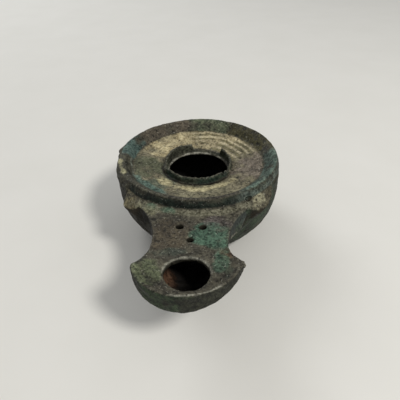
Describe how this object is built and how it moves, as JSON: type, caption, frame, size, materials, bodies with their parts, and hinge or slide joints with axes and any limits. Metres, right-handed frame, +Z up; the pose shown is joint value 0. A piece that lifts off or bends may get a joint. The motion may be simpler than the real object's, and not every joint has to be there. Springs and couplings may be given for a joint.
{
  "type": "roman oil lamp",
  "caption": "Hollow cast oil lamp with a deep round bowl, dished top, raised rim, broken collar round the filling hole, flat neck and anchor-shaped nozzle.",
  "frame": {"origin": "centre of the flat underside of the foot", "axes": "+Z up through the filling hole, -Y towards the nozzle, X across the lamp"},
  "size_m": [0.0712, 0.1141, 0.037],
  "materials": {
    "bronze": "dull aged bronze, dark olive brown with malachite green patches and a tan earthy crust"
  },
  "bodies": {
    "root": {"lamp": "bronze"}
  },
  "joints": []
}
